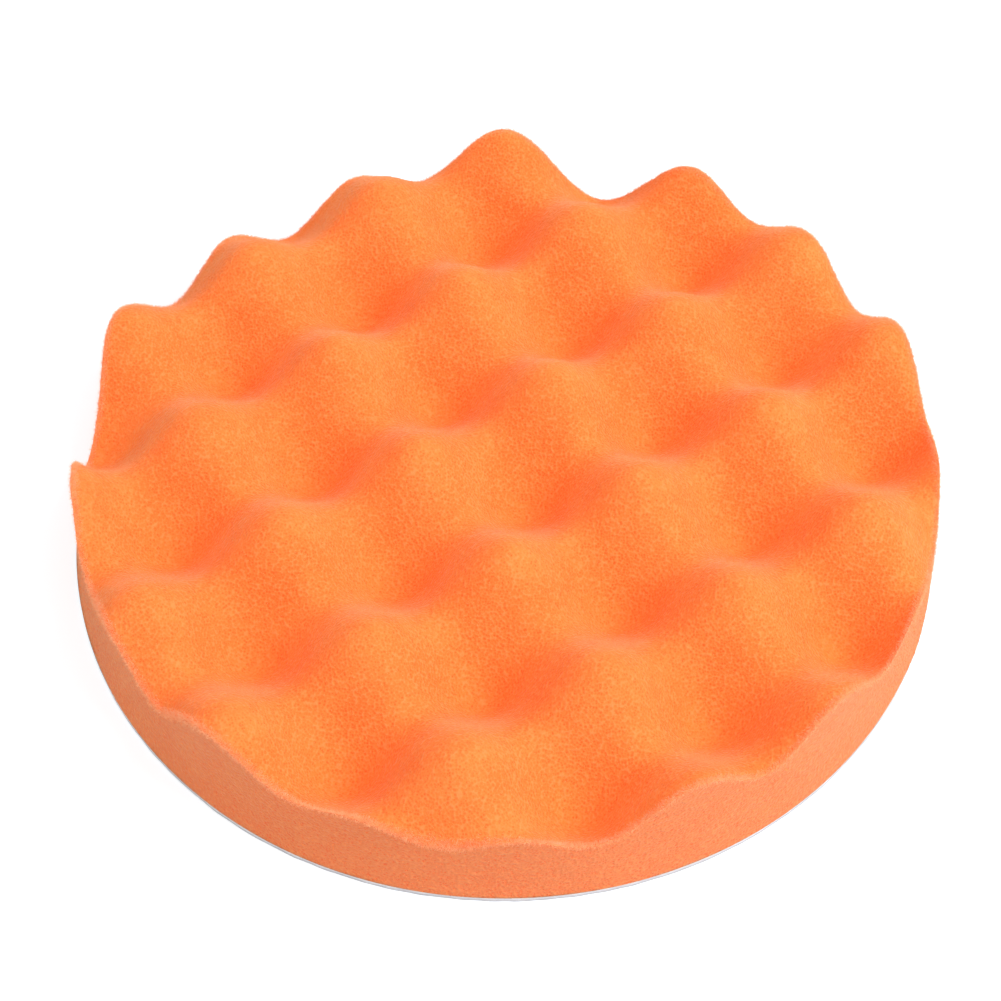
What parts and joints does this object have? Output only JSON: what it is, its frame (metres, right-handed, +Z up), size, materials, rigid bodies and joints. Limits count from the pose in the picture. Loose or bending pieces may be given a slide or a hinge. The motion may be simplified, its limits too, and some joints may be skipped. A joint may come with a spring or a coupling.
{
  "type": "polishing pad",
  "caption": "Round flat foam polishing pad with a waffle working face and a hook-and-loop backing for a rotary or orbital polisher.",
  "frame": {"origin": "centre of the loop pile's underside, the face that meets the machine's hook plate", "axes": "+Z up through the waffle face, the pad's turning axis in use; +X and +Y lie in the backing's plane, with the waffle rows turned 35.2 degrees from +X"},
  "size_m": [0.18, 0.18, 0.0285],
  "materials": {
    "orange_foam": "open-cell polyurethane foam, matte",
    "adhesive_film": "thin hot-melt film, satin",
    "backing_knit": "warp-knitted polyester, matte",
    "loop_nap": "brushed loop pile, matte"
  },
  "bodies": {
    "root": {"waffle_foam": "orange_foam", "bond_film": "adhesive_film", "backing_cloth": "backing_knit", "loop_pile": "loop_nap"}
  },
  "joints": []
}
